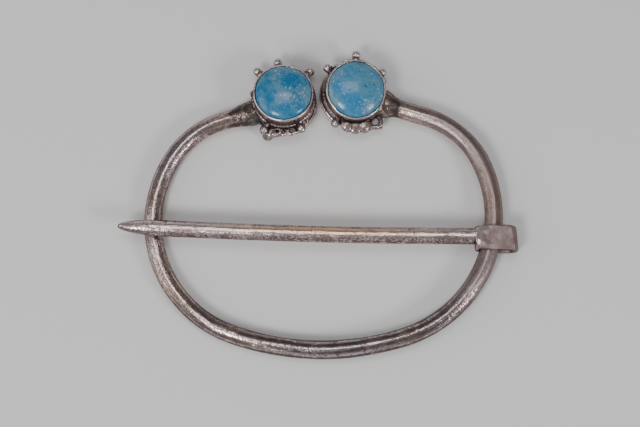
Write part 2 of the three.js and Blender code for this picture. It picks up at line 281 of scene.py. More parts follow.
sunk_in = math_node(patch_tree, "ADD", patch_in["Hollow"], half_sprinkled)
patch_tree.links.new(ranged(patch_tree, sunk_in, 0.42, 1.0), patch_out["Grime"])
patch_tree.links.new(speckle.outputs["Fac"], patch_out["Grain"])

# Fine scratches and draw lines that run along a rod
line_tree, line_in, line_out = group_tree(
    "draw lines", {"Vector": "NodeSocketVector"}, {"Lines": "NodeSocketFloat"}
)
drawn = node(line_tree, "ShaderNodeMapping", Vector=line_in["Vector"], Scale=(0.18, 1, 1))
coarse_lines = node(line_tree, "ShaderNodeTexNoise", Vector=drawn.outputs["Vector"], Scale=1900.0, Detail=4.0)
fine_lines = node(line_tree, "ShaderNodeTexNoise", Vector=drawn.outputs["Vector"], Scale=5200.0, Detail=2.0)
both_lines = math_node(line_tree, "ADD", coarse_lines.outputs["Fac"], fine_lines.outputs["Fac"])
line_tree.links.new(ranged(line_tree, both_lines, 0.6, 1.4), line_out["Lines"])


def kept(tree, name):
    """The outputs that read what keep_value stored on a mesh."""
    return node(tree, "ShaderNodeAttribute", {"attribute_name": name}).outputs


def silver(name, cool, warm, tarnish, grime, patch_scale, roughness, lined):
    """Worn silver: bright metal under brown tarnish, with black crevices and green salts.

    The mesh says where: tarnish follows hollow, satin is an even dull film, and solder is darker.
    """
    material = bpy.data.materials.new(name)
    material.use_nodes = True
    tree = material.node_tree
    shader = tree.nodes["Principled BSDF"]
    hollow = kept(tree, "hollow")["Fac"]
    solder = kept(tree, "solder")["Fac"]
    green = kept(tree, "green")["Fac"]
    warmth = kept(tree, "warmth")["Fac"]
    satin = kept(tree, "satin")["Fac"]
    place = node(tree, "ShaderNodeTexCoord").outputs["Object"]
    burnt = math_node(tree, "ADD", hollow, math_node(tree, "MULTIPLY", solder, 0.8))
    patches = node(tree, "ShaderNodeGroup", {"node_tree": patch_tree}, Vector=place, Hollow=burnt)
    patches.inputs["Patch Scale"].default_value = patch_scale
    colour = tinted(tree, patches.outputs["Patches"], tinted(tree, warmth, cool, warm), tarnish)
    satin_film = math_node(tree, "MULTIPLY", satin, 0.5)
    solder_film = math_node(tree, "MULTIPLY", solder, 0.6)
    film = math_node(tree, "ADD", satin_film, solder_film, clamp=True)
    colour = tinted(tree, film, colour, tarnish)
    on_solder = math_node(tree, "MULTIPLY", solder, patches.outputs["Patches"])
    sooty = math_node(tree, "MULTIPLY", on_solder, 0.85)
    soiled = math_node(tree, "MAXIMUM", patches.outputs["Grime"], sooty, clamp=True)
    if lined:
        straight = kept(tree, "straight")["Vector"]
        lines = node(tree, "ShaderNodeGroup", {"node_tree": line_tree}, Vector=straight).outputs["Lines"]
        colour = tinted(tree, ranged(tree, lines, 0, 1, 0.35, 0), colour, tarnish)
        height = math_node(tree, "ADD", lines, patches.outputs["Grain"])
    else:
        height = patches.outputs["Grain"]
    colour = tinted(tree, soiled, colour, grime)
    salts = math_node(tree, "MULTIPLY", green, ranged(tree, patches.outputs["Grain"], 0.35, 0.6))
    colour = tinted(tree, salts, colour, salts_colour)
    tree.links.new(colour, shader.inputs["Base Color"])
    dulled = math_node(tree, "ADD", patches.outputs["Patches"], satin)
    tree.links.new(ranged(tree, dulled, 0, 2, roughness, roughness + 0.32), shader.inputs["Roughness"])
    shader.inputs["Specular Tint"].default_value = (*reflection_tint, 1)
    plain = math_node(tree, "MAXIMUM", math_node(tree, "MULTIPLY", soiled, 0.7), green)
    tree.links.new(ranged(tree, plain, 0, 1, 0.96, 0.2), shader.inputs["Metallic"])
    bump = node(tree, "ShaderNodeBump", Strength=0.8, Distance=0.032 * mm, Height=height)
    tree.links.new(bump.outputs["Normal"], shader.inputs["Normal"])
    return material


left_aim = left_centre - [0, left_aim_drop]
right_aim = right_centre - [0, right_aim_drop]
left_limb = limb(-1, left_side_radius, left_side_sweep, left_shoulder_radius, left_aim)
right_limb = limb(1, right_side_radius, right_side_sweep, right_shoulder_radius, right_aim)
left_back = left_limb[::-1] + [0, 0, math.pi]
whole_turns = 2 * math.pi * round((left_back[-1, 2] - foot_tilt) / 2 / math.pi)
rod_line = np.concatenate([left_back, [[0, 0, foot_tilt + whole_turns]], right_limb])
rod_heading = np.unwrap(rod_line[:, 2])
rod_way = np.concatenate([[0], np.cumsum(np.hypot(*np.diff(rod_line[:, :2], axis=0).T))])


def place_on_limb(stations, rise):
    """The place on a limb at a height above the foot."""
    above = int(np.argmax(stations[:, 1] >= rise))
    low, high = stations[above - 1], stations[above]
    return (low + (high - low) * (rise - low[1]) / (high[1] - low[1]))[:2]


# The hoop lies on the table at its left side and on the pin's loop at its right
crossing_rise = 20.25
loop_rise = 18.55
band_clearance = 0.2
band_thickness = 0.8
crossing = place_on_limb(left_limb, crossing_rise)
loop_place = place_on_limb(right_limb, loop_rise)
hoop_tilt = math.asin((band_clearance + band_thickness) / (loop_place[0] - crossing[0]))
hoop_lift = rod_radius - crossing[0] * math.sin(hoop_tilt)


def from_hoop(points):
    """Points of the level hoop, tilted as it lies and moved to the row frame."""
    lean = np.array(Matrix.Rotation(-hoop_tilt, 3, "Y"))
    return points @ lean.T + foot_middle + [0, 0, hoop_lift]


ring_angle = np.arange(rod_sides) / rod_sides * 2 * math.pi
inward = np.stack([-np.sin(rod_heading), np.cos(rod_heading), np.zeros(len(rod_heading))], -1)
from_left = rod_way - socket_sink
from_right = rod_way[-1] - socket_sink - rod_way
left_share = smooth_share(1 - from_left / left_flare_length)
right_share = smooth_share(1 - from_right / right_flare_length)
on_left = smooth_share((-10 - rod_line[:, 0]) / 10)
on_foot = smooth_share((10 - rod_line[:, 1]) / 8)
radius_gain = foot_radius_gain * on_foot - left_radius_loss * on_left * (1 - on_foot)


def flared(flatness):
    """The rod's radius all along it, with the solder's swelling at both ends made this flat."""
    at_left = left_share * (left_flare_radius * flatness - rod_radius)
    at_right = right_share * (right_flare_radius * flatness - rod_radius)
    return rod_radius + at_left + at_right + radius_gain


facet_span = 2 * math.pi / facet_count
along = np.stack([rod_way, rod_way * 0, rod_way * 0], -1)
facet_turn = facet_wander * ripple(along, 9, 3)
facet_angle = np.mod(ring_angle[None, :] + facet_turn[:, None], facet_span) - facet_span / 2
facets = math.cos(facet_span / 2) / np.cos(facet_angle)
facet_strength = facet_depth * (0.75 + 0.5 * ripple(along + [0, 4, 0], 5, 4))
shape = 1 + facet_strength[:, None] * (facets - facets.mean())
across = np.cos(ring_angle)[None, :] * flared(1)[:, None] * shape
upward = np.sin(ring_angle)[None, :] * flared(flare_flatness)[:, None] * shape
straight = np.stack([np.broadcast_to(rod_way[:, None], across.shape), across, upward], -1)
soldered = np.maximum(
    smooth_share(1.1 - from_left / (left_flare_length * 1.3)),
    smooth_share(1.15 - from_right / (right_flare_length * 1.5)),
)
soldered = np.repeat(soldered, rod_sides)
flat_straight = straight.reshape(-1, 3)
dents = dent_depth * ripple(flat_straight, 3.4, 1) + 0.014 * ripple(flat_straight, 1.2, 2)
solder_dents = solder_dent_depth * ripple(flat_straight, 1.3, 5) + 0.06 * ripple(flat_straight, 0.55, 6)
dents += soldered * solder_dents
outward = np.stack([np.cos(ring_angle), np.sin(ring_angle)], -1)
across = across + dents.reshape(across.shape) * outward[None, :, 0]
upward = upward + dents.reshape(across.shape) * outward[None, :, 1]
middle = np.stack([rod_line[:, 0], rod_line[:, 1], np.zeros(len(rod_line))], -1)
rings = middle[:, None, :] + inward[:, None, :] * across[..., None] + np.array([0, 0, 1]) * upward[..., None]
hoop_points, hoop_faces = skin(rings)
hoop_points = from_hoop(hoop_points)

# A small nick in the foot's outer edge, and two bright beads of solder on the left neck
nick_place = np.array([-13.4, -22.6, 1.6])
nick_depth = 0.16
nick_size = 0.32
bead_places = [np.array([-12.05, 14.6, 3.7]), np.array([-11.5, 15.0, 3.75])]
bead_height = 0.34
bead_size = 0.34
hoop_middle = np.repeat(from_hoop(middle), rod_sides, axis=0)
hoop_out = hoop_points - hoop_middle
hoop_out /= np.linalg.norm(hoop_out, axis=1)[:, None]
near_nick = np.exp(-((hoop_points - nick_place) ** 2).sum(axis=1) / nick_size**2)
hoop_points = hoop_points - hoop_out * (nick_depth * near_nick)[:, None]
for bead_place in bead_places:
    near_bead = np.exp(-((hoop_points - bead_place) ** 2).sum(axis=1) / bead_size**2)
    hoop_points = hoop_points + hoop_out * (bead_height * near_bead)[:, None]

# Green salts have grown where the left neck meets its setting
green_place = np.array([-10.3, 13.3, 2.6])
green_size = 1.1


def near_green(points):
    """How near each point is to the green salts between the left setting and its rod."""
    return np.exp(-((points - green_place) ** 2).sum(axis=1) / green_size**2)


hoop_silver = silver(
    "hoop silver",
    cool=(0.66, 0.57, 0.63),
    warm=(0.7, 0.54, 0.46),
    tarnish=(0.22, 0.158, 0.142),
    grime=(0.06, 0.05, 0.046),
    patch_scale=300.0,
    roughness=0.15,
    lined=True,
)
hoop = piece("hoop_rod", hoop_points, hoop_faces, hoop_silver)
keep_value(hoop.data, "straight", flat_straight * mm)
keep_value(hoop.data, "solder", soldered)
keep_value(hoop.data, "green", near_green(hoop_points))
towards_top = (hoop_points[:, 1] + 8) / 60
keep_value(hoop.data, "warmth", smooth_share(0.45 + 0.9 * ripple(hoop_points, 11, 12) + towards_top))

# Wear has polished the rod's top. Its right side is an even dull grey, the rod is made darker by the foot,
# and tarnish stays thick at the left joint.
by_foot = smooth_share((-12 - hoop_points[:, 1]) / 8)
at_left_joint = soldered * (hoop_points[:, 0] < 0)
on_right = smooth_share((hoop_points[:, 0] - 14) / 8) * (1 - by_foot)
keep_value(hoop.data, "satin", 1.3 * on_right + 0.1 * at_left_joint)
faces_up = mesh_normals(hoop.data)[:, 2]
hoop_wear = 0.3 * faces_up - 0.65 * by_foot + 0.35 * on_right - 0.5 * at_left_joint
keep_hollows(hoop.data, 24, 0.035, hoop_wear)
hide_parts("hoop")
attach(hoop, "hoop")

# Each setting is a low drum soldered on a base plate, with a top plate, a ring of wire loops and
# granules, and a plain bezel over a twisted wire. Old solder has run over most of the joints.
base_plate_thickness = 0.5
drum_top_radius = 5.2
drum_height = 1.8
top_plate_radius = 5.45
top_plate_thickness = 0.45
foot_wire_radius = 0.24
twist_count = 58
twist_depth = 0.09
bezel_wall = 0.3
bezel_height = 2.8
cup_depth = 2.3
rim_inset = 0.03
stone_radius = 4.69
stone_clearance = 0.1
turned_sides = 232
grain = 0.082
granule_radius = 0.74
granule_seat_radius = 0.62
loop_count = 14
loop_radius = 0.82
loop_wire_radius = 0.25
loop_overlap = 1.08
right_loop_sink = 0.3
rod_room = 35
facing_room = 32
setting_lean = 6.5
left_lean_way = 90
right_lean_way = -22
out_of_true = 0.05
rim_wave = 0.09
lace_radius = 0.5
lace_wire_radius = 0.27
lace_reach = 5.95
lace_edge = 5.87
lace_turn = 283
lace_bead_radius = 0.5
lace_solder_angle = 268
stub_angle = 245
stub_reach = 6.35
stub_radius = 0.95
petal_width = 1.3
petal_depth = 1.4
petal_height = 0.55
petal_solder_angle = 280
drum_top = base_plate_thickness + drum_height
plate_top = drum_top + top_plate_thickness
bezel_radius = stone_radius + stone_clearance + bezel_wall
rim_height = plate_top + bezel_height
cup_floor = rim_height - cup_depth
cup_radius = stone_radius + stone_clearance


def turned(profile, seed):
    """A profile of radius and height turned round the setting's axis, a little out of true."""
    angle = np.arange(turned_sides) / turned_sides * 2 * math.pi
    rows = np.array(profile)
    around = np.stack([np.cos(angle), np.sin(angle)], -1)
    wave = ripple(np.concatenate([around * 2.2, np.full((turned_sides, 1), seed)], axis=1), 1, seed)
    radius = rows[:, 0, None] + out_of_true * wave[None, :]
    up_bezel = smooth_share((rows[:, 1, None] - plate_top) / bezel_height)
    height = rows[:, 1, None] + rim_wave * np.roll(wave, turned_sides // 3)[None, :] * up_bezel
    off_wire = (rows[:, 1] - plate_top - foot_wire_radius) / foot_wire_radius
    wire_share = np.exp(-(off_wire**2)) * (rows[:, 0] > bezel_radius)
    radius = radius + twist_depth * wire_share[:, None] * np.sin(twist_count * angle + 9 * rows[:, 1, None])
    rings = np.stack([radius * np.cos(angle), radius * np.sin(angle), height], -1)
    return skin(rings)


def setting_profile():
    """Base plate, drum, top plate, foot wire, bezel and cup, from the underside up and back in."""
    profile = [
        [base_plate_radius - 0.12, 0],
        [base_plate_radius, 0.1],
        [base_plate_radius, base_plate_thickness - 0.1],
        [base_plate_radius - 0.1, base_plate_thickness],
        [drum_foot_radius - 0.2, base_plate_thickness + 0.06],
        [drum_top_radius, drum_top],
        [top_plate_radius - 0.05, drum_top],
        [top_plate_radius, drum_top + 0.1],
        [top_plate_radius, plate_top - 0.1],
        [top_plate_radius - 0.1, plate_top],
    ]
    for share in np.linspace(-0.5, 0.5, 9):
        angle = share * math.pi
        radius = bezel_radius + foot_wire_radius * math.cos(angle)
        profile.append([radius + 0.02, plate_top + foot_wire_radius * (1 + math.sin(angle))])
    profile += [
        [bezel_radius - 0.01, plate_top + 3 * foot_wire_radius],
        [bezel_radius, rim_height - 0.24],
        [bezel_radius - rim_inset, rim_height - 0.12],
        [cup_radius + rim_inset, rim_height],
        [cup_radius, rim_height - 0.06],
        [cup_radius, cup_floor],
    ]
    return profile


def spun(part, angle, reach, height):
    """A part moved out from the axis, up, and round to its angle in degrees."""
    points, faces = part
    turn = np.array(Matrix.Rotation(math.radians(angle), 3, "Z"))
    return (points + [reach, 0, height]) @ turn.T, faces


def ball(radius, flatness=1.0, seed=0):
    """A bead that ran round in the flame, so it is never quite true."""
    shape = bmesh.new()
    bmesh.ops.create_icosphere(shape, subdivisions=4, radius=radius)
    points = np.array([vertex.co for vertex in shape.verts])
    faces = [[vertex.index for vertex in face.verts] for face in shape.faces]
    shape.free()
    points = points * (1 + 0.05 * ripple(points, radius, seed + 20))[:, None]
    return points * [1, 1, flatness], faces


def petal(seed):
    """A flat leaf of metal that has sagged in the flame."""
    points, faces = ball(1, 1, seed)
    return points * [petal_depth, petal_width, petal_height], faces


def eye(radius, wire_radius, seed=0):
    """A small ring of wire lying flat."""
    angle = np.arange(48) / 48 * 2 * math.pi
    around = np.arange(18) / 18 * 2 * math.pi
    out = np.stack([np.cos(angle), np.sin(angle), angle * 0], -1)
    thick = wire_radius * (1 + 0.12 * ripple(out, 0.8, seed + 30))
    across = np.cos(around)[None, :] * thick[:, None]
    down = -np.sin(around)[None, :] * thick[:, None]
    rings = out[:, None, :] * (radius + across)[..., None] + np.array([0, 0, 1]) * down[..., None]
    return skin(rings, closed=True)


def stub(low_radius, high_radius, length):
    """A short round post standing up."""
    angle = np.arange(24) / 24 * 2 * math.pi
    rows = [(low_radius, 0), (high_radius, length)]
    return skin(np.array([[[r * math.cos(a), r * math.sin(a), z] for a in angle] for r, z in rows]))


def granule(angle, standoff, seed):
    """One granule with the little seat that joins it to the top plate."""
    seat = stub(granule_seat_radius, granule_seat_radius, standoff + 0.9)
    lying = (seat[0][:, [2, 1, 0]] * [1, -1, 1], seat[1])
    return [
        spun(ball(granule_radius, seed=seed), angle, top_plate_radius + standoff, plate_top),
        spun(lying, angle, top_plate_radius - 0.9, drum_top + top_plate_thickness / 2),
    ]


def apart(angle, other):
    """How far apart two directions are, in degrees."""
    return abs((angle - other + 540) % 360 - 180)


def wire_loops(rod_angle, facing_angle, bare_from, bare_to, sink=0):
    """Loops round the top plate, clear of the rod, of the other setting, and of a bare arc."""
    reach = top_plate_radius + loop_radius - loop_overlap - sink
    loops = []
    for number in range(loop_count):
        angle = number * 360 / loop_count
        clear = apart(angle, rod_angle) > rod_room and apart(angle, facing_angle) > facing_room
        if clear and not bare_from < angle < bare_to:
            loop = eye(loop_radius, loop_wire_radius, angle)
            loops.append(spun(loop, angle, reach, drum_top + loop_wire_radius))
    return loops


def fused(parts):
    """One skin round overlapping parts, as solder leaves them, in millimetres."""
    points, faces, start = [], [], 0
    for part_points, part_faces in parts:
        points.append(part_points)
        faces += [[corner + start for corner in face] for face in part_faces]
        start += len(part_points)
    rough = bpy.data.meshes.new("rough")
    rough.from_pydata(np.concatenate(points).tolist(), [], faces)
    block = bpy.data.objects.new("rough", rough)
    bpy.context.scene.collection.objects.link(block)
    melt = block.modifiers.new("melt", "REMESH")
    melt.mode = "VOXEL"
    melt.voxel_size = grain
    melt.adaptivity = 0
    melted = bpy.data.meshes.new_from_object(block.evaluated_get(bpy.context.evaluated_depsgraph_get()))
    bpy.data.objects.remove(block)
    return melted


def setting_frame(centre, lean, towards):
    """Where a setting stands, on its base plate's edge, leaning a little as it was soldered."""
    axis = Vector((-math.sin(math.radians(towards)), math.cos(math.radians(towards)), 0))
    stand = Vector((*centre, base_plate_radius * math.sin(math.radians(lean)))) + Vector(foot_middle)
    return Matrix.Translation(stand) @ Matrix.Rotation(math.radians(lean), 4, axis)


def setting_piece(name, parts, place, rod_angle, solder_angle, seed):
    """Melts a setting's parts together, roughens its solder, and stands it in its place.

    The solder is thickest beside the rod, and thick round the solder angle, by the lace or the lobes.
    """
    melted = fused(parts)
    points = np.array([vertex.co for vertex in melted.vertices])
    faces = [list(polygon.vertices) for polygon in melted.polygons]
    edges = mesh_edges(melted)
    reach = np.hypot(points[:, 0], points[:, 1])
    angle = np.degrees(np.arctan2(points[:, 1], points[:, 0]))
    outside = smooth_share((reach - drum_top_radius + 0.1) / 0.3)
    below_bezel = smooth_share((plate_top + 1.2 - points[:, 2]) / 0.6)
    by_rod = smooth_share(1.6 - apart(angle, rod_angle) / 30)
    by_trim = 0.35 * smooth_share(1.5 - apart(angle, solder_angle) / 40)
    soldered = outside * below_bezel * np.clip(by_rod + by_trim + 0.1, 0, 1)
    for share in (0.5, -0.52) * 3:
        points = points + (neighbour_mean(edges, points) - points) * share
    melted.vertices.foreach_set("co", points.astype(np.float32).ravel())
    melted.update()
    normals = mesh_normals(melted)
    rough = 0.013 * ripple(points, 0.9, seed) + 0.006 * ripple(points, 0.35, seed + 1)
    rough += soldered * (0.07 * ripple(points, 1.1, seed + 2) + 0.035 * ripple(points, 0.42, seed + 3))
    points = points + normals * rough[:, None]
    placed = points @ np.array(place.to_3x3()).T + np.array(place.translation)
    made = piece(name, placed, faces, setting_silver)
    keep_value(made.data, "solder", soldered)
    keep_value(made.data, "green", near_green(placed))
    keep_value(made.data, "warmth", smooth_share(0.5 + ripple(placed, 4, seed + 4)))
    on_rim = smooth_share((points[:, 2] - rim_height + 0.45) / 0.3)
    on_top = smooth_share((points[:, 2] - plate_top - 0.35) / 0.2) * (reach > top_plate_radius)
    keep_hollows(made.data, 34, 0.1, 0.9 * on_rim + 0.5 * on_top)
    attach(made, "hoop")
    return made


def limb_angle(stations, centre):
    """The direction in degrees in which a setting looks back along its rod."""
    back = stations[-30, :2] - centre
    return math.degrees(math.atan2(back[1], back[0])) % 360


setting_silver = silver(
    "setting silver",
    cool=(0.68, 0.59, 0.62),
    warm=(0.68, 0.55, 0.51),
    tarnish=(0.27, 0.2, 0.195),
    grime=(0.016, 0.012, 0.011),
    patch_scale=500.0,
    roughness=0.24,
    lined=False,
)
left_rod_angle = limb_angle(left_limb, left_centre)
right_rod_angle = limb_angle(right_limb, right_centre)
left_place = setting_frame(left_centre, setting_lean, left_lean_way)
right_place = setting_frame(right_centre, setting_lean, right_lean_way)

# The left setting has five granules, a stub of metal under the lowest, and lace with small eyes.
# A granule is given by its direction round the setting in degrees, and by how far it stands out.
left_granules = [(47, 1.12), (99, 1.04), (133, 1.12), (240, 1.15), (299, 0.78)]
left_parts = [turned(setting_profile(), 1)]
for number, (angle, standoff) in enumerate(left_granules):
    left_parts += granule(angle, standoff, number)
left_parts += wire_loops(left_rod_angle, 0, 140, 300)
for number, angle in enumerate([250, 260, 270, 282, 292]):
    left_parts.append(spun(eye(lace_radius, lace_wire_radius, number), angle, lace_reach, drum_top + 0.22))
for number, angle in enumerate(range(250, 302, 4)):
    edge_reach = lace_edge / math.cos(math.radians(angle - lace_turn))
    left_parts.append(spun(ball(lace_bead_radius, 0.9, number), angle, edge_reach, drum_top))
left_parts.append(spun(ball(0.6, 0.9, 4), 171, drum_top_radius, drum_top + 0.3))
left_parts.append(spun(stub(stub_radius, 0.85, drum_top + 0.2), stub_angle, stub_reach, 0))
for number, (angle, reach) in enumerate([(240, 6.35), (245, 6.45), (250, 6.4)]):
    left_parts.append(spun(ball(0.82, 0.6, 8 + number), angle, reach, drum_top + 0.2))
left_setting = setting_piece(
    "left_setting_metal", left_parts, left_place, left_rod_angle, lace_solder_angle, seed=11
)
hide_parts("left_setting")

# The right setting has four granules, and a torn loop among lumps of solder beside its rod
right_granules = [(37, 0.55), (87, 1.05), (138, 0.65), (239, 0.85)]
right_parts = [turned(setting_profile(), 2)]
for number, (angle, standoff) in enumerate(right_granules):
    right_parts += granule(angle, standoff, number + 7)
right_parts += wire_loops(right_rod_angle, 180, 190, 315, right_loop_sink)
for number, (angle, reach, turned_by) in enumerate([(259, 5.5, 14), (272, 5.65, 4), (286, 5.75, -12)]):
    right_parts.append(spun(spun(petal(number), turned_by, 0, 0), angle, reach, plate_top - 0.05))
right_parts.append(spun(eye(0.95, 0.42, 5), 307, 6.06, drum_top))
right_parts.append(spun(ball(0.8, 0.6, 9), 294, 6.2, drum_top + 0.1))
right_parts.append(spun(ball(0.3, 1, 6), 308, 7.42, drum_top))
right_setting = setting_piece(
    "right_setting_metal", right_parts, right_place, right_rod_angle, petal_solder_angle, seed=21
)
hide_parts("right_setting")

# The cabochons are domed stones of mottled blue, polished, with dark pits and pale specks.
# Each sits in its bezel's cup, and shows a thin dark line between its edge and the metal.
stone_girdle_height = 2.1
stone_dome_height = 1.55
stone_edge_rise = 0.38
stone_sides = 160
dome_steps = 56
pit_depth = 0.06
fleck_colour = (0.54, 0.68, 0.72)
small_pit_colour = (0.015, 0.05, 0.07)
large_pit_colour = (0.012, 0.04, 0.06)


def marked(points, marks):
    """How near each point is to any of the marks, given as x, y and size."""
    near = np.zeros(len(points))
    for x, y, size in marks:
        near += np.exp(-((points[:, 0] - x) ** 2 + (points[:, 1] - y) ** 2) / size**2)
    return np.clip(near, 0, 1)


def cabochon_points(seed, pits):
    """A shallow dome on a straight girdle, rolled over at its edge, with small pits in it."""
    rows = [(stone_radius - 0.35, 0), (stone_radius - 0.05, 0.3), (stone_radius, 0.5)]
    rows += [(stone_radius, height) for height in np.linspace(0.8, stone_girdle_height, 5)]
    for share in np.arange(1, dome_steps + 1) / (dome_steps + 1):
        angle = share * math.pi / 2
        share_out = math.cos(angle)
        cap = (1 - share_out**2) * (stone_dome_height - stone_edge_rise)
        rolled_edge = stone_edge_rise * (1 - share_out**16) ** 0.5
        rows.append((stone_radius * share_out, stone_girdle_height + cap + rolled_edge))
    angle = np.arange(stone_sides) / stone_sides * 2 * math.pi
    rings = np.array([[(r * math.cos(a), r * math.sin(a), z) for a in angle] for r, z in rows])
    points, faces = skin(rings)
    on_dome = smooth_share((points[:, 2] - stone_girdle_height) / 0.5)
    points[:, 2] += on_dome * 0.03 * ripple(points, 2.6, seed)
    points[:, 2] -= on_dome * pit_depth * marked(points, pits)
    return points, faces


def blue_stone(name, ground, mottle, pale, mottle_low, mottle_high):
    """Polished blue stone, mottled darker and paler, with dark pits and pale specks."""
    material = bpy.data.materials.new(name)
    material.use_nodes = True
    tree = material.node_tree
    shader = tree.nodes["Principled BSDF"]
    place = node(tree, "ShaderNodeTexCoord").outputs["Object"]
    cloud = node(tree, "ShaderNodeTexNoise", Vector=place, Scale=620.0, Detail=8.0, Roughness=0.85)
    fleck = node(tree, "ShaderNodeTexNoise", Vector=place, Scale=2900.0, Detail=6.0)
    haze = node(tree, "ShaderNodeTexNoise", Vector=place, Scale=210.0, Detail=4.0)
    pit = node(tree, "ShaderNodeTexVoronoi", Vector=place, Scale=900.0)
    half_haze = math_node(tree, "MULTIPLY", haze.outputs["Fac"], 0.5)
    pit_size = math_node(tree, "ADD", pit.outputs["Distance"], half_haze)
    rich = kept(tree, "rich")["Fac"]
    pitted = kept(tree, "pitted")["Fac"]
    mottled = math_node(tree, "ADD", cloud.outputs["Fac"], math_node(tree, "MULTIPLY", rich, 0.11))
    colour = tinted(tree, ranged(tree, mottled, mottle_low, mottle_high), ground, mottle)
    hazy = math_node(tree, "SUBTRACT", haze.outputs["Fac"], math_node(tree, "MULTIPLY", rich, 0.15))
    colour = tinted(tree, ranged(tree, hazy, 0.46, 0.6, 0, 0.75), colour, pale)
    in_haze = ranged(tree, haze.outputs["Fac"], 0.4, 0.6)
    flecked = math_node(tree, "MULTIPLY", ranged(tree, fleck.outputs["Fac"], 0.58, 0.7, 0, 0.9), in_haze)
    colour = tinted(tree, flecked, colour, fleck_colour)
    colour = tinted(tree, ranged(tree, pit_size, 0.28, 0.34, 0.7, 0), colour, small_pit_colour)
    colour = tinted(tree, ranged(tree, pitted, 0.2, 0.8, 0, 0.85), colour, large_pit_colour)
    tree.links.new(colour, shader.inputs["Base Color"])
    tree.links.new(ranged(tree, cloud.outputs["Fac"], 0.3, 0.7, 0.13, 0.25), shader.inputs["Roughness"])
    bump = node(tree, "ShaderNodeBump", Strength=0.2, Distance=0.02 * mm, Height=fleck.outputs["Fac"])
    tree.links.new(bump.outputs["Normal"], shader.inputs["Normal"])
    return material


left_blue = blue_stone(
    "left blue stone",
    ground=(0.085, 0.245, 0.35),
    mottle=(0.004, 0.155, 0.33),
    pale=(0.15, 0.28, 0.365),
    mottle_low=0.43,
    mottle_high=0.57,
)
right_blue = blue_stone(
    "right blue stone",
    ground=(0.09, 0.26, 0.35),
    mottle=(0.025, 0.2, 0.41),
    pale=(0.155, 0.285, 0.355),
    mottle_low=0.44,
    mottle_high=0.58,
)

# Dark pits and richer blue patches, each given by its place from the stone's middle and its size
left_pits = [(1.11, 1.17, 0.16), (1.95, -0.4, 0.14), (1.28, -1.45, 0.12), (1.5, 0.9, 0.12)]
right_pits = [(1.53, 0.29, 0.2), (2.88, 0.65, 0.15), (-1.33, -0.44, 0.11)]
right_pits += [(1.7, 2.15, 0.12), (1.3, 0.55, 0.12)]
left_rich = [(1.11, 1.73, 1.2), (2.11, -0.9, 1.1), (-1.9, -1.4, 0.6), (-0.1, -2.8, 1.1)]
right_rich = [(-2.67, 0.06, 1.0), (-1.49, -1.44, 1.1), (0.54, -2.59, 1.2)]
for side, place, material, seed, pits, rich in (
    ("left", left_place, left_blue, 31, left_pits, left_rich),
    ("right", right_place, right_blue, 37, right_pits, right_rich),
):
    dome_points, stone_faces = cabochon_points(seed, pits)
    stone_points = dome_points + [0, 0, cup_floor + stone_clearance]
    stone_points = stone_points @ np.array(place.to_3x3()).T + np.array(place.translation)
    stone = piece(f"{side}_stone", stone_points, stone_faces, material)
    keep_value(stone.data, "pitted", marked(dome_points, pits))
    keep_value(stone.data, "rich", marked(dome_points, rich))
    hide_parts(f"{side}_cabochon")
    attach(stone, "hoop")

# The pin is a second rod, filed to a bullet point. Its other end is beaten flat into a broad band
# and folded loosely round the hoop, so that the pin swings and slides on it.
shank_width = 2.73
shank_thickness = 2.5
shank_bow = 0.42
point_length = 5.4
point_radius = 0.33
point_fullness = 0.37
point_overhang = 4.08
rest_clearance = 0.05
band_width = 4.1
band_shift = 0.05
band_fullness = 5
fold_clearance = 1.94
fold_skew = math.radians(6)
curl_clearance = 0.52
curl_sweep = math.radians(108)
neck_length = 0.05
near_spread = 0.35
far_spread = 2.1
melt_length = 2.6
fold_fullness = 2.9
band_roll = 0.16
band_flat_reach = 1.7
hammer_depth = 0.05
hammer_size = 1.9
beaten_from = -3
beaten_length = 1.5
pin_sides = 84
pin_step = 0.16
band_height = rod_radius + band_clearance + band_thickness / 2
rest_height = rod_radius + rest_clearance + shank_thickness / 2
curl_reach = rod_radius + curl_clearance + band_thickness
fold_reach = rod_radius + fold_clearance + band_thickness
tip_distance = np.linalg.norm(loop_place - crossing) + rod_radius + point_overhang
slope = (rest_height - band_height) / (np.linalg.norm(loop_place - crossing) - curl_reach)
neck_distance = curl_reach + neck_length
pin_angle = np.arange(pin_sides) / pin_sides * 2 * math.pi


def section(half_width, half_height, fullness):
    """Across and up for a ring: fullness 2 is round, and more is squarer."""
    across = np.sign(np.cos(pin_angle)) * np.abs(np.cos(pin_angle)) ** 0.8
    height = (1 - np.abs(across) ** fullness) ** (1 / fullness)
    return np.stack([half_width * across, half_height * np.sign(np.sin(pin_angle)) * height], -1)


pin_rings, pin_straight = [], []


def add_ring(centre, away, ring_section, way):
    """One ring of the pin, given as across and up, and its place along the straightened metal."""
    side = np.array([0, 1, 0])
    pin_rings.append(np.array(centre) + ring_section[:, :1] * side + ring_section[:, 1:] * np.array(away))
    pin_straight.append(np.concatenate([np.full((pin_sides, 1), way), ring_section], axis=1))


